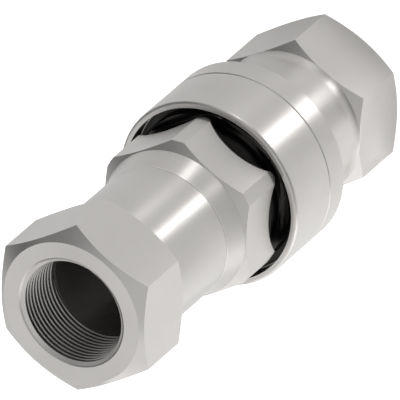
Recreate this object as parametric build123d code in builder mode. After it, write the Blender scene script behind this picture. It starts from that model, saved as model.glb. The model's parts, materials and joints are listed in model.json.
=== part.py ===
"""Ball-lock hydraulic quick coupling with inch-and-a-half pipe ports, coupled, standing on its end.

The axis is +Z. The coupler half, with the pull-back sleeve, is below, and the nipple half is above.
Z is 0 at the coupler's port face, and one corner of every hexagon points along +X.
"""
import os
from math import cos, pi, radians, tan

from build123d import *

# Pipe ports, the same in both halves
port_major_radius = 23.9
port_minor_radius = 22.42
port_thread_depth = 25.5
port_mouth_chamfer = 0.8

# Hexagons
nipple_hex_across_flats = 67.0
coupler_hex_across_flats = 65.0
nipple_hex_corner_length = 24.1
hex_chamfer_angle = 34.0
nipple_face_step = 1.8
coupler_face_step = 1.6

# Coupler adapter, from its port face up
coupler_hex_height = 32.7
flare_height = 4.6
flare_step = 1.3
neck_wall = 4.0
coupler_spigot_length = 11.7
coupler_spigot_wall = 4.0

# Ball lock, from the nose outwards
nose_radius = 30.0
nose_clearance = 0.3
ball_count = 16
ball_radius = 4.0
ball_bite = 1.85
ball_groove_clearance = 0.35
ball_groove_floor = 3.4
ball_clearance = 0.15
ball_land_clearance = 0.25
ball_lip_height = 0.45
land_clearance = 0.4

# Coupler body
neck_skin = 1.1
neck_length = 28.3
flange_height = 3.0
cage_end_bevel = 0.8
cage_front_land = 3.8
mouth_lead_in = 1.0
body_shoulder_gap = 0.5

# Sleeve and its screwed rear ring
sleeve_length = 39.2
neck_shown = 25.1
spring_room = 2.6
rear_ring_height = 11.5
rear_ring_lip_height = 2.8
rear_ring_spigot_length = 5.9
rear_ring_spigot_wall = 1.8
sleeve_wall = 1.5
sleeve_land_height = 8.0
sleeve_land_bevel = 0.8
sleeve_mouth_gap = 3.26
sleeve_mouth_depth = 9.6
sleeve_front_round = 1.6
seam_bevel = 0.45
screw_clearance = 0.1
slide_clearance = 0.3

# Stop ring in front of the sleeve's land
stop_ring_offset = 0.2
stop_ring_height = 1.8
stop_ring_bite = 1.2
stop_ring_stand = 2.4
stop_ring_opening = 7.0
ring_play = 0.1

# Nipple body
collar_corner_cut = 1.61
collar_rear_bevel_width = 0.7
collar_rear_bevel_height = 3.5
collar_gap = 0.5
collar_length = 26.5
cone_length = 9.9
cone_end_step = 0.44
scallop_radius = 25.6
scallop_edge_round = 1.5
scallop_reach = 8.4
nipple_spigot_length = 15.5
nipple_spigot_wall = 3.5
nipple_guide_shoulder = 0.9
nose_reach = 34.0
nose_tip_bevel = 1.2
nose_tip_gap = 0.6

# Nipple adapter
barrel_radius = 30.25
barrel_wall = 3.15
barrel_end_bevel = 0.3
nipple_adapter_length = 74.0
spigot_end_gap = 0.5

# Valves, alike in both halves, holding each other open
valve_room = 4.6
seat_land = 2.5
seat_cone_width = 5.5
valve_opening = 6.0
valve_tip_gap = 0.1
valve_tip_radius = 7.0
valve_tip_length = 2.2
valve_tip_bevel = 0.5
valve_head_lap = 2.3
valve_head_dish = 4.0
valve_rim_height = 2.7
valve_back_height = 2.0
valve_boss_radius = 9.3
valve_boss_height = 3.0
valve_boss_taper = 1.5
valve_stem_radius = 4.0
valve_stem_end = 3.0
valve_stem_bevel = 0.6
valve_seal_width = 3.3
valve_seal_lap = 0.3
valve_seal_depth = 2.0

# Valve guides
guide_thickness = 3.8
guide_hub_radius = 13.0
guide_rim_width = 2.6
guide_spoke_width = 6.0
guide_spoke_count = 3
guide_clearance = 0.1
stem_clearance = 0.1
coupler_guide_z = 29.0
nipple_guide_drop = 26.5

# Ring that holds the nipple's guide
guide_ring_height = 1.4
guide_ring_bite = 1.0
guide_ring_width = 3.2
guide_ring_opening = 14.0

# Springs
valve_spring_radius = 11.0
valve_spring_wire = 2.0
coupler_valve_spring_turns = 3
nipple_valve_spring_turns = 6
sleeve_spring_wire = 2.0
sleeve_spring_turns = 2.5
spring_end_gap = 0.05

# Seals
nose_gland_depth = 3.5
nose_gland_height = 4.6
nose_gland_drop = 19.0
nose_seal_gap = 0.15
backup_ring_height = 1.2
seal_gap = 0.05
spigot_gland_depth = 2.0
spigot_gland_height = 2.6
spigot_gland_offset = 1.6

# Radii worked out from the sizes above
chamfer_slope = tan(radians(hex_chamfer_angle))
nipple_hex_radius = nipple_hex_across_flats / 2 / cos(pi / 6)
coupler_hex_radius = coupler_hex_across_flats / 2 / cos(pi / 6)
nipple_face_radius = nipple_hex_across_flats / 2 - nipple_face_step
coupler_face_radius = coupler_hex_across_flats / 2 - coupler_face_step
cone_end_radius = nipple_hex_across_flats / 2 - cone_end_step
collar_corner_radius = nipple_hex_radius - collar_corner_cut
body_bore_radius = nose_radius + nose_clearance
neck_radius = body_bore_radius + neck_skin
flare_radius = neck_radius + flare_step
coupler_socket_radius = neck_radius - neck_wall
coupler_spigot_radius = coupler_socket_radius - screw_clearance
coupler_guide_bore_radius = coupler_spigot_radius - coupler_spigot_wall
nipple_socket_radius = barrel_radius - barrel_wall
nipple_spigot_radius = nipple_socket_radius - screw_clearance
nipple_bore_radius = nipple_spigot_radius - nipple_spigot_wall
nipple_cavity_radius = nipple_bore_radius - nipple_guide_shoulder
seat_radius = nipple_cavity_radius - valve_room
body_cavity_radius = seat_radius + seat_cone_width
valve_head_radius = seat_radius + valve_head_lap
valve_shoulder_radius = seat_radius - valve_head_dish
valve_seal_outer_radius = seat_radius + valve_seal_lap
valve_seal_inner_radius = valve_seal_outer_radius - valve_seal_width
nose_gland_radius = nose_radius + nose_gland_depth
nose_groove_radius = nose_radius - ball_bite - ball_groove_clearance
ball_ring_radius = nose_radius - ball_bite + ball_radius
sleeve_land_radius = ball_ring_radius + ball_radius + ball_land_clearance
cage_radius = sleeve_land_radius - land_clearance
stop_ring_inner_radius = cage_radius - stop_ring_bite
stop_ring_outer_radius = cage_radius + stop_ring_stand
sleeve_mouth_radius = cage_radius + sleeve_mouth_gap
sleeve_pocket_radius = cage_radius + spring_room
flange_radius = sleeve_pocket_radius - slide_clearance
rear_ring_bore_radius = neck_radius + slide_clearance
rear_ring_spigot_radius = sleeve_pocket_radius + rear_ring_spigot_wall
sleeve_socket_radius = rear_ring_spigot_radius + screw_clearance
sleeve_radius = sleeve_socket_radius + sleeve_wall

# Heights worked out from the sizes above
coupler_seam_z = coupler_hex_height + flare_height
coupler_spigot_top = coupler_seam_z + coupler_spigot_length
flange_bottom = coupler_seam_z + neck_length
flange_top = flange_bottom + flange_height
sleeve_bottom = coupler_seam_z + neck_shown
sleeve_seam_z = sleeve_bottom + rear_ring_height
rear_ring_lip_top = sleeve_bottom + rear_ring_lip_height
rear_ring_top = sleeve_seam_z + rear_ring_spigot_length
sleeve_top = sleeve_bottom + sleeve_length
land_top = sleeve_top - sleeve_mouth_depth
land_bottom = land_top - sleeve_land_height
ball_z = (land_top + land_bottom) / 2
groove_bottom = ball_z - ball_groove_floor / 2
groove_top = ball_z + ball_groove_floor / 2
groove_depth = nose_radius - nose_groove_radius
stop_groove_bottom = land_top + stop_ring_offset
stop_groove_top = stop_groove_bottom + stop_ring_height + 2 * ring_play
cage_top = stop_groove_top + cage_front_land
nose_tip = cage_top - nose_reach
body_shoulder_z = nose_tip - nose_tip_gap
meeting_z = (nose_tip + body_shoulder_z) / 2
gland_top = cage_top - nose_gland_drop
gland_bottom = gland_top - nose_gland_height

collar_bottom = sleeve_top + collar_gap
cone_bottom = collar_bottom + collar_length
nipple_seam_z = cone_bottom + cone_length
nipple_spigot_top = nipple_seam_z + nipple_spigot_length
total_height = nipple_seam_z + nipple_adapter_length
nipple_guide_z = nipple_seam_z - nipple_guide_drop
nipple_guide_top = nipple_guide_z + guide_thickness
coupler_guide_top = coupler_guide_z + guide_thickness

# Valve heights in the nipple half. The coupler's valve is a mirror image at the meeting plane
nipple_seat_z = nose_tip + seat_land
valve_tip_z = meeting_z + valve_tip_gap / 2
valve_edge_z = nipple_seat_z + valve_head_lap + valve_opening
valve_back_z = valve_edge_z + valve_rim_height + valve_back_height
valve_boss_z = valve_back_z + valve_boss_height
coupler_valve_back_z = 2 * meeting_z - valve_back_z


def turned(*points):
    """Closed outline through radius and height pairs, in the plane that is revolved about Z."""
    with BuildSketch(Plane.XZ) as outline:
        with BuildLine():
            Polyline(*points, close=True)
        make_face()
    return outline.sketch


def band(inner, outer, bottom, top):
    """Rectangular section of a turned ring."""
    return turned((inner, bottom), (outer, bottom), (outer, top), (inner, top))


def coil(radius, wire, bottom, top, turns):
    """Add a round-wire spring that fills the space between two levels."""
    height = top - bottom - wire - 2 * spring_end_gap
    with BuildLine(Plane.XY.offset(bottom + wire / 2 + spring_end_gap)) as path:
        Helix(pitch=height / turns, height=height, radius=radius)
    with BuildSketch(Plane(origin=path.line @ 0, z_dir=path.line % 0)) as section:
        Circle(wire / 2)
    sweep(section.sketch, path=path.line, is_frenet=True)


def open_ring(inner, outer, bottom, height, opening):
    """Add a retaining ring with a gap on its +X side."""
    with BuildSketch(Plane.XY.offset(bottom)) as section:
        Circle(outer)
        Circle(inner, mode=Mode.SUBTRACT)
        with Locations((outer, 0)):
            Rectangle(outer, opening, mode=Mode.SUBTRACT)
    extrude(section.sketch, amount=height)


def poppet_outline(stem_top):
    """Half outline of a poppet with its tip down, opened by the other half's poppet."""
    return turned(
        (0, valve_tip_z),
        (valve_tip_radius - valve_tip_bevel, valve_tip_z),
        (valve_tip_radius, valve_tip_z + valve_tip_bevel),
        (valve_tip_radius, valve_tip_z + valve_tip_length),
        (valve_shoulder_radius, valve_edge_z - valve_head_lap - valve_head_dish),
        (valve_head_radius, valve_edge_z),
        (valve_head_radius, valve_edge_z + valve_rim_height),
        (valve_head_radius - valve_back_height, valve_back_z),
        (valve_boss_radius, valve_back_z),
        (valve_boss_radius, valve_boss_z),
        (valve_stem_radius, valve_boss_z + valve_boss_taper),
        (valve_stem_radius, stem_top - valve_stem_bevel),
        (valve_stem_radius - valve_stem_bevel, stem_top),
        (0, stem_top),
    )


def poppet_seal_outline():
    """Section of a poppet's seal, flush with its sealing cone."""
    outer_z = valve_edge_z - valve_head_lap + valve_seal_lap
    inner_z = outer_z - valve_seal_width
    step = valve_seal_depth * cos(pi / 4)
    return turned(
        (valve_seal_inner_radius, inner_z),
        (valve_seal_outer_radius, outer_z),
        (valve_seal_outer_radius - step, outer_z + step),
        (valve_seal_inner_radius - step, inner_z + step),
    )


def spider(bore_radius, bottom):
    """Add a guide for a poppet's stem, with windows for the oil between its spokes."""
    rim_radius = bore_radius - guide_clearance
    window_outer = rim_radius - guide_rim_width
    with BuildSketch(Plane.XY.offset(bottom)) as disc:
        Circle(rim_radius)
        Circle(valve_stem_radius + stem_clearance, mode=Mode.SUBTRACT)
    extrude(disc.sketch, amount=guide_thickness)
    with BuildSketch(Plane.XY.offset(bottom)) as windows:
        Circle(window_outer)
        Circle(guide_hub_radius, mode=Mode.SUBTRACT)
        with PolarLocations((window_outer + guide_hub_radius) / 2, guide_spoke_count):
            Rectangle(bore_radius, guide_spoke_width, mode=Mode.SUBTRACT)
    extrude(windows.sketch, amount=guide_thickness, mode=Mode.SUBTRACT)


# Coupler adapter: hexagon with a flared neck, its port below and a screwed spigot above
coupler_gland_bottom = coupler_seam_z + spigot_gland_offset
coupler_gland_radius = coupler_spigot_radius - spigot_gland_depth

with BuildPart() as coupler_adapter:
    with BuildSketch():
        RegularPolygon(coupler_hex_radius, 6)
    extrude(amount=coupler_hex_height)
    revolve(
        turned(
            (0, 0),
            (coupler_face_radius, 0),
            (coupler_hex_radius, (coupler_hex_radius - coupler_face_radius) * chamfer_slope),
            (coupler_hex_radius, coupler_hex_height - (coupler_hex_radius - flare_radius) * chamfer_slope),
            (flare_radius, coupler_hex_height),
            (0, coupler_hex_height),
        ),
        axis=Axis.Z,
        mode=Mode.INTERSECT,
    )
    with BuildSketch(Plane.XZ):
        with BuildLine():
            TangentArc(
                (neck_radius, coupler_seam_z),
                (flare_radius, coupler_hex_height),
                tangent=(0, -1),
            )
            Polyline(
                (flare_radius, coupler_hex_height),
                (0, coupler_hex_height),
                (0, coupler_spigot_top),
                (coupler_spigot_radius, coupler_spigot_top),
                (coupler_spigot_radius, coupler_seam_z),
                (neck_radius, coupler_seam_z),
            )
        make_face()
    revolve(axis=Axis.Z)
    revolve(
        turned(
            (0, 0),
            (port_major_radius + port_mouth_chamfer, 0),
            (port_major_radius, port_mouth_chamfer),
            (port_major_radius, port_thread_depth),
            (port_minor_radius, port_thread_depth),
            (port_minor_radius, coupler_guide_z),
            (coupler_guide_bore_radius, coupler_guide_z),
            (coupler_guide_bore_radius, coupler_spigot_top),
            (0, coupler_spigot_top),
        ),
        axis=Axis.Z,
        mode=Mode.SUBTRACT,
    )
    revolve(
        band(
            coupler_gland_radius,
            coupler_socket_radius,
            coupler_gland_bottom,
            coupler_gland_bottom + spigot_gland_height,
        ),
        axis=Axis.Z,
        mode=Mode.SUBTRACT,
    )

# Coupler body: neck, spring flange, ball cage with a nose bore, valve seat and rear socket
with BuildPart() as ball_pocket:
    revolve(
        turned(
            (body_bore_radius - mouth_lead_in, 0),
            (body_bore_radius - mouth_lead_in, ball_radius + ball_clearance - ball_lip_height),
            (body_bore_radius, ball_radius + ball_clearance - ball_lip_height),
            (body_bore_radius + ball_lip_height, ball_radius + ball_clearance),
            (cage_radius + mouth_lead_in, ball_radius + ball_clearance),
            (cage_radius + mouth_lead_in, 0),
        ),
        axis=Axis.X,
    )

with BuildPart() as coupler_body:
    revolve(
        turned(
            (coupler_socket_radius, coupler_seam_z),
            (neck_radius, coupler_seam_z),
            (neck_radius, flange_bottom),
            (flange_radius, flange_bottom),
            (flange_radius, flange_top),
            (cage_radius, flange_top),
            (cage_radius, stop_groove_bottom),
            (stop_ring_inner_radius - ring_play, stop_groove_bottom),
            (stop_ring_inner_radius - ring_play, stop_groove_top),
            (cage_radius, stop_groove_top),
            (cage_radius, cage_top - cage_end_bevel),
            (cage_radius - cage_end_bevel, cage_top),
            (body_bore_radius + mouth_lead_in, cage_top),
            (body_bore_radius, cage_top - mouth_lead_in),
            (body_bore_radius, gland_top),
            (nose_gland_radius, gland_top),
            (nose_gland_radius, gland_bottom),
            (body_bore_radius, gland_bottom),
            (body_bore_radius, body_shoulder_z),
            (seat_radius, body_shoulder_z),
            (seat_radius, body_shoulder_z - seat_land),
            (body_cavity_radius, body_shoulder_z - seat_land - seat_cone_width),
            (body_cavity_radius, coupler_spigot_top + body_shoulder_gap),
            (coupler_socket_radius, coupler_spigot_top + body_shoulder_gap),
        ),
        axis=Axis.Z,
    )
    with Locations((0, 0, ball_z)):
        with PolarLocations(0, ball_count):
            add(ball_pocket.part, mode=Mode.SUBTRACT)

# Seal between the coupler's adapter and body
with BuildPart(Plane.XY.offset(coupler_gland_bottom + spigot_gland_height / 2)) as coupler_adapter_seal:
    Torus(
        (coupler_gland_radius + coupler_socket_radius) / 2,
        (coupler_socket_radius - coupler_gland_radius) / 2 - seal_gap,
    )

# Sleeve, with a land over the balls and a wide mouth that frees them when it is pulled back
with BuildPart() as sleeve:
    revolve(
        turned(
            (sleeve_socket_radius, sleeve_seam_z),
            (sleeve_radius - seam_bevel, sleeve_seam_z),
            (sleeve_radius, sleeve_seam_z + seam_bevel),
            (sleeve_radius, sleeve_top),
            (sleeve_mouth_radius, sleeve_top),
            (sleeve_mouth_radius, land_top),
            (sleeve_land_radius + sleeve_land_bevel, land_top),
            (sleeve_land_radius, land_top - sleeve_land_bevel),
            (sleeve_land_radius, land_bottom),
            (sleeve_pocket_radius, land_bottom),
            (sleeve_pocket_radius, rear_ring_top),
            (sleeve_socket_radius, rear_ring_top),
        ),
        axis=Axis.Z,
    )
    front_edges = sleeve.edges().filter_by_position(Axis.Z, sleeve_top, sleeve_top)
    fillet(front_edges.sort_by(SortBy.RADIUS)[-1], radius=sleeve_front_round)

# Rear ring, screwed into the sleeve and guided on the neck
with BuildPart() as sleeve_rear_ring:
    revolve(
        turned(
            (rear_ring_bore_radius, sleeve_bottom),
            (sleeve_radius - seam_bevel, sleeve_bottom),
            (sleeve_radius, sleeve_bottom + seam_bevel),
            (sleeve_radius, sleeve_seam_z - seam_bevel),
            (sleeve_radius - seam_bevel, sleeve_seam_z),
            (rear_ring_spigot_radius, sleeve_seam_z),
            (rear_ring_spigot_radius, rear_ring_top),
            (sleeve_pocket_radius, rear_ring_top),
            (sleeve_pocket_radius, rear_ring_lip_top),
            (rear_ring_bore_radius, rear_ring_lip_top),
        ),
        axis=Axis.Z,
    )

# Sleeve spring, between the body's flange and the sleeve's land
with BuildPart() as sleeve_spring:
    coil(
        (cage_radius + sleeve_pocket_radius) / 2,
        sleeve_spring_wire,
        flange_top,
        land_bottom,
        sleeve_spring_turns,
    )

# Stop ring that the sleeve's land rests against
with BuildPart() as sleeve_stop_ring:
    open_ring(
        stop_ring_inner_radius,
        stop_ring_outer_radius,
        stop_groove_bottom + ring_play,
        stop_ring_height,
        stop_ring_opening,
    )

# Locking balls in the cage
with BuildPart(Plane.XY.offset(ball_z)) as locking_balls:
    with PolarLocations(ball_ring_radius, ball_count):
        Sphere(ball_radius)

# Nose seal and its backup ring in the body's gland
nose_seal_radius = (nose_gland_depth - nose_seal_gap - seal_gap) / 2

with BuildPart(Plane.XY.offset(gland_bottom + seal_gap + nose_seal_radius)) as nose_seal:
    Torus(nose_radius + nose_seal_gap + nose_seal_radius, nose_seal_radius)

with BuildPart() as nose_backup_ring:
    revolve(
        band(
            nose_radius + nose_seal_gap,
            nose_gland_radius - seal_gap,
            gland_top - seal_gap - backup_ring_height,
            gland_top - seal_gap,
        ),
        axis=Axis.Z,
    )

# Nipple body: cone, hexagon collar with turned corners, grooved nose, valve seat and top spigot
nipple_gland_bottom = nipple_seam_z + spigot_gland_offset
nipple_gland_radius = nipple_spigot_radius - spigot_gland_depth
flat_distance = nipple_hex_across_flats / 2
scallop_z = collar_bottom + scallop_reach - scallop_radius - scallop_edge_round
ring_groove_bottom = nipple_guide_top + ring_play
ring_groove_top = ring_groove_bottom + guide_ring_height + 2 * ring_play

with BuildPart() as scallop:
    with BuildSketch(Plane.XZ):
        with BuildLine():
            TangentArc(
                (flat_distance - scallop_edge_round, scallop_z + scallop_radius),
                (flat_distance, scallop_z + scallop_radius + scallop_edge_round),
                tangent=(1, 0),
            )
            Polyline(
                (flat_distance, scallop_z + scallop_radius + scallop_edge_round),
                (nipple_hex_radius, scallop_z + scallop_radius + scallop_edge_round),
                (nipple_hex_radius, scallop_z),
                (nose_radius, scallop_z),
                (nose_radius, scallop_z + scallop_radius),
                (flat_distance - scallop_edge_round, scallop_z + scallop_radius),
            )
        make_face()
    revolve(axis=Axis((0, 0, scallop_z), (1, 0, 0)))

with BuildPart() as nipple_body:
    with BuildSketch(Plane.XY.offset(collar_bottom)):
        RegularPolygon(nipple_hex_radius, 6)
    extrude(amount=collar_length)
    revolve(
        turned(
            (0, collar_bottom),
            (collar_corner_radius - collar_rear_bevel_width, collar_bottom),
            (collar_corner_radius, collar_bottom + collar_rear_bevel_height),
            (collar_corner_radius, cone_bottom - (collar_corner_radius - cone_end_radius) * chamfer_slope),
            (cone_end_radius, cone_bottom),
            (0, cone_bottom),
        ),
        axis=Axis.Z,
        mode=Mode.INTERSECT,
    )
    with PolarLocations(0, 6, start_angle=30):
        add(scallop.part, mode=Mode.SUBTRACT)
    revolve(
        turned(
            (0, nose_tip),
            (nose_radius - nose_tip_bevel, nose_tip),
            (nose_radius, nose_tip + 2 * nose_tip_bevel),
            (nose_radius, groove_bottom - groove_depth),
            (nose_groove_radius, groove_bottom),
            (nose_groove_radius, groove_top),
            (nose_radius, groove_top + groove_depth),
            (nose_radius, collar_bottom + scallop_reach),
            (0, collar_bottom + scallop_reach),
        ),
        axis=Axis.Z,
    )
    revolve(
        turned(
            (0, cone_bottom),
            (cone_end_radius, cone_bottom),
            (barrel_radius, nipple_seam_z),
            (nipple_spigot_radius, nipple_seam_z),
            (nipple_spigot_radius, nipple_spigot_top),
            (0, nipple_spigot_top),
        ),
        axis=Axis.Z,
    )
    revolve(
        turned(
            (0, nose_tip),
            (seat_radius, nose_tip),
            (seat_radius, nipple_seat_z),
            (nipple_cavity_radius, nipple_seat_z + nipple_cavity_radius - seat_radius),
            (nipple_cavity_radius, nipple_guide_z),
            (nipple_bore_radius, nipple_guide_z),
            (nipple_bore_radius, ring_groove_bottom),
            (nipple_bore_radius + guide_ring_bite + ring_play, ring_groove_bottom),
            (nipple_bore_radius + guide_ring_bite + ring_play, ring_groove_top),
            (nipple_bore_radius, ring_groove_top),
            (nipple_bore_radius, nipple_spigot_top),
            (0, nipple_spigot_top),
        ),
        axis=Axis.Z,
        mode=Mode.SUBTRACT,
    )
    revolve(
        band(
            nipple_gland_radius,
            nipple_socket_radius,
            nipple_gland_bottom,
            nipple_gland_bottom + spigot_gland_height,
        ),
        axis=Axis.Z,
        mode=Mode.SUBTRACT,
    )

# Seal between the nipple's adapter and body
with BuildPart(Plane.XY.offset(nipple_gland_bottom + spigot_gland_height / 2)) as nipple_adapter_seal:
    Torus(
        (nipple_gland_radius + nipple_socket_radius) / 2,
        (nipple_socket_radius - nipple_gland_radius) / 2 - seal_gap,
    )

# Nipple adapter: barrel and hexagon, with its port on top and a screwed socket below
nipple_hex_top_corner = total_height - (nipple_hex_radius - nipple_face_radius) * chamfer_slope
nipple_hex_low_corner = nipple_hex_top_corner - nipple_hex_corner_length
nipple_hex_bottom = nipple_hex_low_corner - (nipple_hex_radius - barrel_radius) * chamfer_slope
nipple_socket_top = nipple_spigot_top + spigot_end_gap

with BuildPart() as nipple_adapter:
    with BuildSketch(Plane.XY.offset(nipple_hex_bottom)):
        RegularPolygon(nipple_hex_radius, 6)
    extrude(amount=total_height - nipple_hex_bottom)
    revolve(
        turned(
            (0, nipple_hex_bottom),
            (barrel_radius, nipple_hex_bottom),
            (nipple_hex_radius, nipple_hex_low_corner),
            (nipple_hex_radius, nipple_hex_top_corner),
            (nipple_face_radius, total_height),
            (0, total_height),
        ),
        axis=Axis.Z,
        mode=Mode.INTERSECT,
    )
    revolve(
        turned(
            (0, nipple_seam_z),
            (barrel_radius - barrel_end_bevel, nipple_seam_z),
            (barrel_radius, nipple_seam_z + barrel_end_bevel),
            (barrel_radius, nipple_hex_bottom),
            (0, nipple_hex_bottom),
        ),
        axis=Axis.Z,
    )
    revolve(
        turned(
            (0, nipple_seam_z),
            (nipple_socket_radius, nipple_seam_z),
            (nipple_socket_radius, nipple_socket_top),
            (port_minor_radius, nipple_socket_top),
            (port_minor_radius, total_height - port_thread_depth),
            (port_major_radius, total_height - port_thread_depth),
            (port_major_radius, total_height - port_mouth_chamfer),
            (port_major_radius + port_mouth_chamfer, total_height),
            (0, total_height),
        ),
        axis=Axis.Z,
        mode=Mode.SUBTRACT,
    )

# Nipple valve: poppet, its seal, the guide of its stem, the guide's ring and the spring
with BuildPart() as nipple_poppet:
    revolve(poppet_outline(nipple_guide_top + valve_stem_end), axis=Axis.Z)
    revolve(poppet_seal_outline(), axis=Axis.Z, mode=Mode.SUBTRACT)

with BuildPart() as nipple_poppet_seal:
    revolve(poppet_seal_outline(), axis=Axis.Z)

with BuildPart() as nipple_valve_guide:
    spider(nipple_bore_radius, nipple_guide_z)

with BuildPart() as nipple_guide_ring:
    open_ring(
        nipple_bore_radius + guide_ring_bite - guide_ring_width,
        nipple_bore_radius + guide_ring_bite,
        ring_groove_bottom + ring_play,
        guide_ring_height,
        guide_ring_opening,
    )

with BuildPart() as nipple_valve_spring:
    coil(
        valve_spring_radius,
        valve_spring_wire,
        valve_back_z,
        nipple_guide_z,
        nipple_valve_spring_turns,
    )

# Coupler valve, the nipple's in a mirror at the meeting plane, with a shorter stem and spring
meeting_plane = Plane.XY.offset(meeting_z)
coupler_stem_end = coupler_guide_z - valve_stem_end

with BuildPart() as coupler_poppet:
    revolve(mirror(poppet_outline(2 * meeting_z - coupler_stem_end), about=meeting_plane), axis=Axis.Z)
    revolve(
        mirror(poppet_seal_outline(), about=meeting_plane),
        axis=Axis.Z,
        mode=Mode.SUBTRACT,
    )

with BuildPart() as coupler_poppet_seal:
    revolve(mirror(poppet_seal_outline(), about=meeting_plane), axis=Axis.Z)

with BuildPart() as coupler_valve_guide:
    spider(coupler_guide_bore_radius, coupler_guide_z)

with BuildPart() as coupler_valve_spring:
    coil(
        valve_spring_radius,
        valve_spring_wire,
        coupler_guide_top,
        coupler_valve_back_z,
        coupler_valve_spring_turns,
    )

coupler_adapter.part.label = "coupler_adapter"
coupler_adapter_seal.part.label = "coupler_adapter_seal"
coupler_body.part.label = "coupler_body"
coupler_poppet.part.label = "coupler_poppet"
coupler_poppet_seal.part.label = "coupler_poppet_seal"
coupler_valve_guide.part.label = "coupler_valve_guide"
coupler_valve_spring.part.label = "coupler_valve_spring"
locking_balls.part.label = "locking_balls"
nose_backup_ring.part.label = "nose_backup_ring"
nose_seal.part.label = "nose_seal"
sleeve.part.label = "sleeve"
sleeve_rear_ring.part.label = "sleeve_rear_ring"
sleeve_spring.part.label = "sleeve_spring"
sleeve_stop_ring.part.label = "sleeve_stop_ring"
nipple_adapter.part.label = "nipple_adapter"
nipple_adapter_seal.part.label = "nipple_adapter_seal"
nipple_body.part.label = "nipple_body"
nipple_guide_ring.part.label = "nipple_guide_ring"
nipple_poppet.part.label = "nipple_poppet"
nipple_poppet_seal.part.label = "nipple_poppet_seal"
nipple_valve_guide.part.label = "nipple_valve_guide"
nipple_valve_spring.part.label = "nipple_valve_spring"

os.makedirs("parts", exist_ok=True)
export_step(coupler_adapter.part, "parts/coupler_adapter.step")
export_step(coupler_adapter_seal.part, "parts/coupler_adapter_seal.step")
export_step(coupler_body.part, "parts/coupler_body.step")
export_step(coupler_poppet.part, "parts/coupler_poppet.step")
export_step(coupler_poppet_seal.part, "parts/coupler_poppet_seal.step")
export_step(coupler_valve_guide.part, "parts/coupler_valve_guide.step")
export_step(coupler_valve_spring.part, "parts/coupler_valve_spring.step")
export_step(locking_balls.part, "parts/locking_balls.step")
export_step(nose_backup_ring.part, "parts/nose_backup_ring.step")
export_step(nose_seal.part, "parts/nose_seal.step")
export_step(sleeve.part, "parts/sleeve.step")
export_step(sleeve_rear_ring.part, "parts/sleeve_rear_ring.step")
export_step(sleeve_spring.part, "parts/sleeve_spring.step")
export_step(sleeve_stop_ring.part, "parts/sleeve_stop_ring.step")
export_step(nipple_adapter.part, "parts/nipple_adapter.step")
export_step(nipple_adapter_seal.part, "parts/nipple_adapter_seal.step")
export_step(nipple_body.part, "parts/nipple_body.step")
export_step(nipple_guide_ring.part, "parts/nipple_guide_ring.step")
export_step(nipple_poppet.part, "parts/nipple_poppet.step")
export_step(nipple_poppet_seal.part, "parts/nipple_poppet_seal.step")
export_step(nipple_valve_guide.part, "parts/nipple_valve_guide.step")
export_step(nipple_valve_spring.part, "parts/nipple_valve_spring.step")
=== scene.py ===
"""Bright plated hydraulic quick coupling, standing on its coupler end on a pale studio floor."""
import json
from math import cos, pi, radians, sin

import bpy
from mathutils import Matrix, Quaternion, Vector


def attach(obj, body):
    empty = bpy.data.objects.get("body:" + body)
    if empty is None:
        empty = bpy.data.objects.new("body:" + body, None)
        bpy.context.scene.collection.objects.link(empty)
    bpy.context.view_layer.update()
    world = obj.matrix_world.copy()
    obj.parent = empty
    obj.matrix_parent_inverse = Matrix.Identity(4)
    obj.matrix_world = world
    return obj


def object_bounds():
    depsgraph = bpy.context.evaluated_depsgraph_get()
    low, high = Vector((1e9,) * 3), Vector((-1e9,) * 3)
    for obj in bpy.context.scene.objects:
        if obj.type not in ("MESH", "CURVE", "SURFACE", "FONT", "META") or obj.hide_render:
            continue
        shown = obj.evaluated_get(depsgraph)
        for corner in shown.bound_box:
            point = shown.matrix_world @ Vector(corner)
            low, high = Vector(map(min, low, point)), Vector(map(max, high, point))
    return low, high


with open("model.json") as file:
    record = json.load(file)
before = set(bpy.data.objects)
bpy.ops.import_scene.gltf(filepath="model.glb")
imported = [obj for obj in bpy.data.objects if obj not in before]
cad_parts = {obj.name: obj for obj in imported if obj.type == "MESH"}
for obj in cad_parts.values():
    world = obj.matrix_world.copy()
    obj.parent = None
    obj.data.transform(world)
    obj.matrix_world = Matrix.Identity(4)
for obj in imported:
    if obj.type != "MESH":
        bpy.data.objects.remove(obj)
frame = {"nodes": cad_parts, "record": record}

cad_low, cad_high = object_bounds()
nodes = frame["nodes"]

# Pipe thread, eleven to the inch, in metres
thread_major_radius = 0.0239
thread_minor_radius = 0.02242
thread_pitch = 0.0254 / 11
thread_depth = 0.0255
thread_root_width = 0.0021
thread_crest_width = 0.00055
thread_sunk = 0.00015
thread_points_per_turn = 96
thread_runout_turns = 0.4
thread_runout_scale = 0.08
thread_roots_outer_radius = thread_major_radius + 0.0003
thread_roots_inner_radius = thread_minor_radius + 0.0005

# Painted shade, near black, in the pocket between the sleeve and the nipple, and the polished wall of the
# sleeve's mouth round it, its colour darkened as painted shade
pocket_radius = 0.0391
mouth_wall_radius = 0.0394
pocket_bottom = 0.066
mouth_bottom = 0.0918
pocket_top = 0.1015
pocket_shade_top = 0.0975

# Scallops in the collar's flats, with painted shade on their faces and a painted highlight on their rounded
# edges
scallop_centre_z = 0.0834
scallop_radius = 0.0256
painted_highlight_radius = 0.0273
scallop_shade_radius = scallop_radius + 0.0002
scallop_edge_depth = 0.0318
painted_highlight_levels = (0.1022, 0.1112)
shaded_levels = (0.0955, 0.1112)
collar_corner_radius = 0.04

# Painted light on the broken edges where the barrel meets the cone, lifting the shade on them
seam_radius = 0.0306
seam_levels = (0.1381, 0.1389)

# Camera, from the outlines of both hexagons in the photograph
camera_lens = 1509
camera_distance = 6.8696
camera_azimuth = 48.87
camera_elevation = 48.64
camera_roll = -130.87
camera_target = Vector((0.00007, 0.00043, 0.10729))

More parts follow.
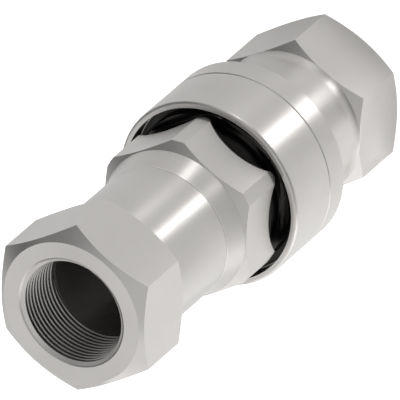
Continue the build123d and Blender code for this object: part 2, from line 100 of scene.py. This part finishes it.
# Studio. The tent's levels run round the horizon from the camera's side, in steps of 45 degrees
view_azimuth = camera_azimuth - 90
floor_reach = 6.0
floor_glow = 0.36
lamp_aim_height = 0.1
card_height = 0.002
tent_wall_top = 30
tent_blend = 6
wall_levels = (0.08, 1.04, 0.0, 0.0, 1.12, 0.64, 1.2, 0.0)
roof_levels = (0.76, 0.56, 0.2, 0.6, 1.09, 0.96, 0.84, 0.84)


def shader_math(tree, operation, first, second=0.0):
    """Output of a math node on one or two sockets or numbers."""
    node = tree.nodes.new("ShaderNodeMath")
    node.operation = operation
    for socket, source in zip(node.inputs, (first, second)):
        if isinstance(source, (int, float)):
            socket.default_value = source
        else:
            tree.links.new(source, socket)
    return node.outputs["Value"]


class Finish:
    """Node tree of one material, with short calls for the nodes that these finishes share."""

    def __init__(self, name, colour, metallic, roughness):
        self.material = bpy.data.materials.new(name)
        self.material.use_nodes = True
        self.tree = self.material.node_tree
        self.shader = self.tree.nodes["Principled BSDF"]
        self.shader.inputs["Base Color"].default_value = (*colour, 1)
        self.shader.inputs["Metallic"].default_value = metallic
        self.shader.inputs["Roughness"].default_value = roughness
        self.coords = self.add("ShaderNodeTexCoord")

    def add(self, kind, **values):
        node = self.tree.nodes.new(kind)
        for key, value in values.items():
            setattr(node, key, value)
        return node

    def link(self, source, target):
        self.tree.links.new(source, target)

    def noise(self, scale, stretch=(1, 1, 1), detail=4.0):
        """Noise on the object's own coordinates, squeezed along an axis by its stretch."""
        mapping = self.add("ShaderNodeMapping")
        mapping.inputs["Scale"].default_value = stretch
        self.link(self.coords.outputs["Object"], mapping.inputs["Vector"])
        noise = self.add("ShaderNodeTexNoise")
        noise.inputs["Scale"].default_value = scale
        noise.inputs["Detail"].default_value = detail
        self.link(mapping.outputs["Vector"], noise.inputs["Vector"])
        return noise.outputs["Fac"]

    def roughen(self, source, low, high):
        """Roughness from low to high, by a noise."""
        ramp = self.add("ShaderNodeMapRange")
        ramp.inputs["From Min"].default_value = 0.3
        ramp.inputs["From Max"].default_value = 0.7
        ramp.inputs["To Min"].default_value = low
        ramp.inputs["To Max"].default_value = high
        self.link(source, ramp.inputs["Value"])
        self.link(ramp.outputs["Result"], self.shader.inputs["Roughness"])

    def tint(self, source, dark, light):
        """Base colour between two colours, by a noise."""
        ramp = self.add("ShaderNodeValToRGB")
        ramp.color_ramp.elements[0].position = 0.3
        ramp.color_ramp.elements[0].color = (*dark, 1)
        ramp.color_ramp.elements[1].position = 0.7
        ramp.color_ramp.elements[1].color = (*light, 1)
        self.link(source, ramp.inputs["Fac"])
        self.link(ramp.outputs["Color"], self.shader.inputs["Base Color"])

    def patch(self, mask, colour, roughness):
        """Another base colour and roughness where the mask is 1."""
        for name, value in (("Base Color", (*colour, 1)), ("Roughness", (roughness,) * 3 + (1,))):
            socket = self.shader.inputs[name]
            mix = self.add("ShaderNodeMixRGB")
            self.link(mask, mix.inputs["Fac"])
            if socket.is_linked:
                self.link(socket.links[0].from_socket, mix.inputs["Color1"])
            else:
                mix.inputs["Color1"].default_value = (socket.default_value,) * 3 + (1,)
            mix.inputs["Color2"].default_value = value
            self.link(mix.outputs["Color"], socket)

    def turn_marks(self, strength):
        """Stretch the gloss across tool marks that run round the object's Z axis."""
        place = self.coords.outputs["Object"]
        round_axis = self.cross((0, 0, 1), place)
        turned = self.add("ShaderNodeVectorTransform", vector_type="VECTOR")
        turned.convert_from, turned.convert_to = "OBJECT", "WORLD"
        self.link(round_axis, turned.inputs["Vector"])
        normal = self.add("ShaderNodeNewGeometry").outputs["Normal"]
        self.link(self.cross(normal, turned.outputs["Vector"]), self.shader.inputs["Tangent"])
        self.shader.inputs["Anisotropic"].default_value = strength

    def cross(self, first, second):
        node = self.add("ShaderNodeVectorMath", operation="CROSS_PRODUCT")
        for socket, source in zip(node.inputs, (first, second)):
            if isinstance(source, tuple):
                socket.default_value = source
            else:
                self.link(source, socket)
        return node.outputs["Vector"]

    def math(self, operation, first, second=0.0):
        return shader_math(self.tree, operation, first, second)

    def axes(self):
        """X, Y and Z of the object's own coordinates."""
        split = self.add("ShaderNodeSeparateXYZ")
        self.link(self.coords.outputs["Object"], split.inputs["Vector"])
        return split.outputs

    def inside(self, radius, bottom, top):
        """1 within a radius of the object's Z axis and between two levels, and 0 elsewhere."""
        x, y, z = self.axes()
        across = self.math("ADD", self.math("MULTIPLY", x, x), self.math("MULTIPLY", y, y))
        within = self.math("LESS_THAN", across, radius * radius)
        return self.math("MULTIPLY", within, self.between(z, bottom, top))

    def scallops(self, reaches, depths, levels):
        """1 between two radii from the scallops' axes, two distances from the body's axis and two levels."""
        x, y, z = self.axes()
        turn = self.math("DIVIDE", self.math("ARCTAN2", y, x), pi / 3)
        side = self.math("MULTIPLY", self.math("SUBTRACT", self.math("FRACT", turn), 0.5), pi / 3)
        out = self.length(x, y)
        along = self.math("MULTIPLY", out, self.math("SINE", side))
        depth = self.math("MULTIPLY", out, self.math("COSINE", side))
        reach = self.length(along, self.math("SUBTRACT", z, scallop_centre_z))
        mask = self.between(reach, *reaches)
        mask = self.math("MULTIPLY", mask, self.between(depth, *depths))
        return self.math("MULTIPLY", mask, self.between(z, *levels))

    def length(self, first, second):
        squares = self.math("MULTIPLY", first, first), self.math("MULTIPLY", second, second)
        return self.math("SQRT", self.math("ADD", *squares))

    def between(self, source, low, high):
        above = self.math("GREATER_THAN", source, low)
        return self.math("MULTIPLY", above, self.math("LESS_THAN", source, high))

    def thread_roots(self, top):
        """1 near the roots of the thread of the port at the foot, or at a top level, and 0 elsewhere."""
        low, high = thread_root_width, thread_depth
        if top:
            low, high = top - thread_depth, top - thread_root_width
        deep = self.inside(thread_roots_outer_radius, low, high)
        return self.math("SUBTRACT", deep, self.inside(thread_roots_inner_radius, low, high))

    def bump(self, source, depth):
        bump = self.add("ShaderNodeBump")
        bump.inputs["Distance"].default_value = depth
        self.link(source, bump.inputs["Height"])
        self.link(bump.outputs["Normal"], self.shader.inputs["Normal"])


def zinc_plate():
    """Bright zinc plate over turned steel: fine tool marks round the axis and a faint cloudiness, with
    painted shade in the sleeve's pocket, on the scallops' faces and in the thread roots, and painted light
    on the scallops' edges and the barrel's seam.
    """
    finish = Finish("zinc_plate", (0.55, 0.534, 0.518), 1.0, 0.36)
    finish.roughen(finish.noise(60), 0.34, 0.38)
    finish.tint(finish.noise(35, detail=6), (0.54, 0.524, 0.508), (0.56, 0.544, 0.528))
    # Polished wall of the sleeve's mouth, its colour darkened as painted shade
    finish.patch(finish.inside(mouth_wall_radius, mouth_bottom, pocket_top), (0.34, 0.33, 0.32), 0.1)
    # Painted shade: near black in the pocket inside the sleeve's mouth
    finish.patch(finish.inside(pocket_radius, pocket_bottom, pocket_shade_top), (0.03, 0.029, 0.028), 0.3)
    shade = finish.scallops((0, scallop_shade_radius), (0, scallop_edge_depth), shaded_levels)
    finish.patch(shade, (0.07, 0.068, 0.066), 0.3)
    # Painted highlight, near white, on the scallops' rounded edges
    painted_highlight_depths = (scallop_edge_depth, collar_corner_radius)
    highlight_mask = finish.scallops((scallop_radius, painted_highlight_radius), painted_highlight_depths, painted_highlight_levels)
    finish.patch(highlight_mask, (0.85, 0.835, 0.82), 0.3)
    # Painted light on the broken edges of the barrel's seam, lifting their shade
    finish.patch(finish.inside(seam_radius, *seam_levels), (0.66, 0.645, 0.63), 0.34)
    # Painted shade in the roots of both port threads
    finish.patch(finish.thread_roots(0), (0.1, 0.097, 0.094), 0.4)
    finish.patch(finish.thread_roots(cad_high.z), (0.1, 0.097, 0.094), 0.4)
    finish.turn_marks(0.7)
    finish.bump(finish.noise(900, stretch=(0.02, 0.02, 1), detail=2), 0.000003)
    return finish.material


def machined_steel():
    """Bare machined steel of the valves and guides."""
    finish = Finish("machined_valve_steel", (0.5, 0.49, 0.48), 1.0, 0.36)
    finish.roughen(finish.noise(90), 0.32, 0.42)
    finish.tint(finish.noise(50), (0.45, 0.44, 0.43), (0.55, 0.54, 0.53))
    return finish.material


def ball_steel():
    """Ground and polished steel of the locking balls."""
    finish = Finish("polished_ball_steel", (0.66, 0.66, 0.66), 1.0, 0.1)
    finish.roughen(finish.noise(300), 0.07, 0.13)
    return finish.material


def spring_wire():
    """Oiled spring wire, dark, with painted shade, near black, where it lies inside the sleeve's mouth."""
    finish = Finish("oiled_spring_wire", (0.24, 0.235, 0.23), 1.0, 0.38)
    finish.tint(finish.noise(200), (0.2, 0.195, 0.19), (0.28, 0.275, 0.27))
    # Painted shade inside the sleeve's mouth
    finish.patch(finish.inside(pocket_radius, mouth_bottom, pocket_top), (0.03, 0.029, 0.028), 0.3)
    return finish.material


def seal_rubber():
    """Black nitrile rubber of the seals."""
    finish = Finish("black_nitrile", (0.02, 0.02, 0.021), 0.0, 0.55)
    finish.roughen(finish.noise(400), 0.48, 0.62)
    return finish.material


def backup_plastic():
    """White plastic of the backup ring."""
    finish = Finish("white_backup_plastic", (0.82, 0.82, 0.8), 0.0, 0.45)
    finish.tint(finish.noise(120), (0.79, 0.79, 0.77), (0.85, 0.85, 0.83))
    return finish.material


finishes = {
    "zinc_plated_steel": zinc_plate(),
    "machined_steel": machined_steel(),
    "hardened_steel": ball_steel(),
    "spring_steel": spring_wire(),
    "seal_rubber": seal_rubber(),
    "white_ptfe": backup_plastic(),
}


def dress_nodes():
    """Give every CAD node the finish of its slot in the record."""
    for row in frame["record"]["subparts"]:
        mesh = nodes[row["node"]].data
        mesh.materials.clear()
        mesh.materials.append(finishes[row["material_slot"]])


def thread_tree():
    """Geometry Nodes tree that winds one ridge up the inside of a bore, sunk a little into its wall."""
    tree = bpy.data.node_groups.new("thread_ridge", "GeometryNodeTree")
    interface = tree.interface
    interface.new_socket("Geometry", in_out="OUTPUT", socket_type="NodeSocketGeometry")
    for name in ("Bore Radius", "Crest Radius", "Pitch", "Turns", "Root Width", "Crest Width", "Bottom"):
        interface.new_socket(name, in_out="INPUT", socket_type="NodeSocketFloat")
    interface.new_socket("Points Per Turn", in_out="INPUT", socket_type="NodeSocketInt")
    interface.new_socket("Finish", in_out="INPUT", socket_type="NodeSocketMaterial")
    add = tree.nodes.new
    link = tree.links.new
    given = add("NodeGroupInput").outputs
    made = add("NodeGroupOutput").inputs

    def value(operation, first, second):
        return shader_math(tree, operation, first, second)

    def vector(**parts):
        node = add("ShaderNodeCombineXYZ")
        for axis, source in parts.items():
            link(source, node.inputs[axis])
        return node.outputs["Vector"]

    spiral = add("GeometryNodeCurveSpiral")
    link(given["Points Per Turn"], spiral.inputs["Resolution"])
    link(given["Turns"], spiral.inputs["Rotations"])
    link(given["Bore Radius"], spiral.inputs["Start Radius"])
    link(given["Bore Radius"], spiral.inputs["End Radius"])
    link(value("MULTIPLY", given["Pitch"], given["Turns"]), spiral.inputs["Height"])
    spiral.inputs["Reverse"].default_value = True
    upright = add("GeometryNodeSetCurveNormal")
    upright.mode = "Z_UP"
    link(spiral.outputs["Curve"], upright.inputs["Curve"])

    height = value("SUBTRACT", given["Crest Radius"], given["Bore Radius"])
    root = value("MULTIPLY", given["Root Width"], 0.5)
    crest = value("MULTIPLY", given["Crest Width"], 0.5)
    profile = add("GeometryNodeCurvePrimitiveQuadrilateral")
    profile.mode = "POINTS"
    link(vector(Y=root), profile.inputs["Point 1"])
    link(vector(X=height, Y=crest), profile.inputs["Point 2"])
    link(vector(X=height, Y=value("MULTIPLY", crest, -1)), profile.inputs["Point 3"])
    link(vector(Y=value("MULTIPLY", root, -1)), profile.inputs["Point 4"])

    along = add("GeometryNodeSplineParameter").outputs["Factor"]
    from_end = value("MINIMUM", along, value("SUBTRACT", 1.0, along))
    turns_from_end = value("MULTIPLY", from_end, given["Turns"])
    fade = value("MINIMUM", value("DIVIDE", turns_from_end, thread_runout_turns), 1.0)
    ridge = add("GeometryNodeCurveToMesh")
    link(upright.outputs["Curve"], ridge.inputs["Curve"])
    link(profile.outputs["Curve"], ridge.inputs["Profile Curve"])
    link(value("MAXIMUM", fade, thread_runout_scale), ridge.inputs["Scale"])
    ridge.inputs["Fill Caps"].default_value = True
    placed = add("GeometryNodeTransform")
    link(ridge.outputs["Mesh"], placed.inputs["Geometry"])
    link(vector(Z=given["Bottom"]), placed.inputs["Translation"])
    realized = add("GeometryNodeRealizeInstances")
    link(placed.outputs["Geometry"], realized.inputs["Geometry"])
    coated = add("GeometryNodeSetMaterial")
    link(realized.outputs["Geometry"], coated.inputs["Geometry"])
    link(given["Finish"], coated.inputs["Material"])
    link(coated.outputs["Geometry"], made["Geometry"])
    return tree


def plain_mesh(name, tree, **inputs):
    """Piece made by a Geometry Nodes tree, turned into a plain mesh."""
    piece = bpy.data.objects.new(name, bpy.data.meshes.new(name + "_start"))
    bpy.context.scene.collection.objects.link(piece)
    modifier = piece.modifiers.new("tree", "NODES")
    modifier.node_group = tree
    for item in tree.interface.items_tree:
        if item.in_out == "INPUT":
            modifier[item.identifier] = inputs[item.name.lower().replace(" ", "_")]
    seen = piece.evaluated_get(bpy.context.evaluated_depsgraph_get())
    mesh = bpy.data.meshes.new_from_object(seen)
    piece.modifiers.clear()
    piece.data = mesh
    mesh.name = name
    return piece


def port_thread(name, body, bottom, tree):
    """Thread ridge of one port, from its bottom level to the mouth."""
    turns = (thread_depth - thread_root_width) / thread_pitch + 2 * thread_runout_turns
    piece = plain_mesh(
        name,
        tree,
        bore_radius=thread_major_radius + thread_sunk,
        crest_radius=thread_minor_radius,
        pitch=thread_pitch,
        turns=turns,
        root_width=thread_root_width,
        crest_width=thread_crest_width,
        bottom=bottom + thread_root_width / 2 - thread_runout_turns * thread_pitch,
        points_per_turn=thread_points_per_turn,
        finish=finishes["zinc_plated_steel"],
    )
    piece.data.shade_smooth()
    piece.data.set_sharp_from_angle(angle=radians(25))
    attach(piece, body)
    return piece


def pale_floor():
    """Pale matt floor that shows white to the camera and soft white in the steel."""
    mesh = bpy.data.meshes.new("floor")
    edge = floor_reach
    mesh.from_pydata(
        [(-edge, -edge, 0), (edge, -edge, 0), (edge, edge, 0), (-edge, edge, 0)], [], [(0, 1, 2, 3)]
    )
    floor = bpy.data.objects.new("floor", mesh)
    bpy.context.scene.collection.objects.link(floor)
    material = bpy.data.materials.new("pale_floor")
    material.use_nodes = True
    tree = material.node_tree
    tree.nodes.clear()
    paint = tree.nodes.new("ShaderNodeBsdfDiffuse")
    paint.inputs["Color"].default_value = (0.8, 0.8, 0.8, 1)
    ray = tree.nodes.new("ShaderNodeLightPath").outputs
    glow = tree.nodes.new("ShaderNodeEmission")
    seen = shader_math(tree, "MAXIMUM", ray["Is Camera Ray"], ray["Is Transmission Ray"])
    mirrored = shader_math(tree, "MULTIPLY", ray["Is Glossy Ray"], floor_glow)
    tree.links.new(shader_math(tree, "MAXIMUM", seen, mirrored), glow.inputs["Strength"])
    both = tree.nodes.new("ShaderNodeAddShader")
    tree.links.new(paint.outputs[0], both.inputs[0])
    tree.links.new(glow.outputs[0], both.inputs[1])
    out = tree.nodes.new("ShaderNodeOutputMaterial")
    tree.links.new(both.outputs[0], out.inputs["Surface"])
    mesh.materials.append(material)


def tent_wall(tree, turn, levels):
    """Brightness round the horizon, from levels at equal steps, counted from the camera's side."""
    ramp = tree.nodes.new("ShaderNodeValToRGB")
    stops = ramp.color_ramp.elements
    brightest = max(levels)
    closed = (*levels, levels[0])
    while len(stops) < len(closed):
        stops.new(0.5)
    for step, level in enumerate(closed):
        stops[step].position = step / len(levels)
        stops[step].color = (level / brightest,) * 3 + (1,)
    tree.links.new(turn, ramp.inputs["Fac"])
    return shader_math(tree, "MULTIPLY", ramp.outputs["Color"], brightest)


def light_tent():
    """White world for the camera, and for the steel a soft tent with darker cards near the horizon."""
    world = bpy.data.worlds.new("light_tent")
    bpy.context.scene.world = world
    world.use_nodes = True
    tree = world.node_tree
    tree.nodes.clear()
    split = tree.nodes.new("ShaderNodeSeparateXYZ")
    tree.links.new(tree.nodes.new("ShaderNodeTexCoord").outputs["Generated"], split.inputs["Vector"])
    azimuth = shader_math(tree, "ARCTAN2", split.outputs["Y"], split.outputs["X"])
    turn = shader_math(tree, "SUBTRACT", azimuth, radians(view_azimuth))
    turn = shader_math(tree, "ADD", shader_math(tree, "DIVIDE", turn, 2 * pi), 1)
    turn = shader_math(tree, "FRACT", turn)
    rise = tree.nodes.new("ShaderNodeMapRange")
    rise.interpolation_type = "SMOOTHSTEP"
    rise.inputs["From Min"].default_value = sin(radians(tent_wall_top - tent_blend))
    rise.inputs["From Max"].default_value = sin(radians(tent_wall_top + tent_blend))
    tree.links.new(split.outputs["Z"], rise.inputs["Value"])
    above = rise.outputs["Result"]
    below = shader_math(tree, "SUBTRACT", 1, above)
    tent = shader_math(
        tree,
        "ADD",
        shader_math(tree, "MULTIPLY", below, tent_wall(tree, turn, wall_levels)),
        shader_math(tree, "MULTIPLY", above, tent_wall(tree, turn, roof_levels)),
    )
    camera = tree.nodes.new("ShaderNodeLightPath").outputs["Is Camera Ray"]
    light = tree.nodes.new("ShaderNodeBackground")
    light.inputs["Color"].default_value = (1, 1, 1, 1)
    tree.links.new(shader_math(tree, "MAXIMUM", tent, camera), light.inputs["Strength"])
    out = tree.nodes.new("ShaderNodeOutputWorld")
    tree.links.new(light.outputs[0], out.inputs["Surface"])


def soft_lamp(name, azimuth, distance, height, size, brightness, lying=False):
    """Soft area lamp that faces the coupling, or that lies on the floor and faces up.

    Its azimuth is counted from the camera's side.
    """
    light = bpy.data.lights.new(name, "AREA")
    light.shape = "RECTANGLE"
    light.size, light.size_y = size
    light.energy = brightness * pi * size[0] * size[1]
    holder = bpy.data.objects.new(name, light)
    bpy.context.scene.collection.objects.link(holder)
    turn = radians(view_azimuth + azimuth)
    holder.location = (distance * cos(turn), distance * sin(turn), height)
    if lying:
        holder.rotation_euler = (pi, 0, turn)
    else:
        holder.rotation_mode = "QUATERNION"
        facing = Vector((0, 0, lamp_aim_height)) - holder.location
        holder.rotation_quaternion = facing.to_track_quat("-Z", "Y")
    holder.visible_camera = False


def floor_card(name, azimuth, distance, size, brightness):
    """Soft lamp that lies just above the floor, facing up, to place a streak in the turned steel."""
    soft_lamp(name, azimuth, distance, card_height, size, brightness, lying=True)


def photo_camera():
    """Camera at the photograph's angle."""
    data = bpy.data.cameras.new("camera")
    data.lens = camera_lens
    data.sensor_width = 36
    data.clip_end = 50
    holder = bpy.data.objects.new("camera", data)
    bpy.context.scene.collection.objects.link(holder)
    swing = Quaternion((0, 0, 1), radians(camera_azimuth))
    tilt = Quaternion((1, 0, 0), radians(90 - camera_elevation))
    turn = swing @ tilt @ Quaternion((0, 0, 1), radians(camera_roll))
    holder.rotation_mode = "QUATERNION"
    holder.rotation_quaternion = turn
    holder.location = camera_target + turn @ Vector((0, 0, camera_distance))
    bpy.context.scene.camera = holder


dress_nodes()
winding = thread_tree()
port_thread("coupler_port_thread", "coupler", 0.0, winding)
port_thread("nipple_port_thread", "nipple", cad_high.z - thread_depth, winding)
pale_floor()
light_tent()
soft_lamp("right_lamp", azimuth=-95, distance=0.6, height=0.2, size=(0.35, 0.4), brightness=1.18)
soft_lamp("far_right_lamp", azimuth=-130, distance=0.6, height=0.2, size=(0.35, 0.4), brightness=1.0)
floor_card("right_card", azimuth=-90, distance=0.2, size=(0.3, 0.16), brightness=0.24)
floor_card("sleeve_streak_card", azimuth=0, distance=0.1125, size=(0.055, 0.03), brightness=2.6)
floor_card("barrel_streak_card", azimuth=1, distance=0.185, size=(0.09, 0.032), brightness=5.4)
floor_card("far_flat_card", azimuth=15, distance=0.06, size=(0.036, 0.06), brightness=0.24)
floor_card("far_side_card", azimuth=-69, distance=0.064, size=(0.036, 0.07), brightness=0.42)
floor_card("cone_card", azimuth=37, distance=0.45, size=(0.2, 0.08), brightness=6.5)
photo_camera()

bpy.context.scene.view_settings.view_transform = "Standard"
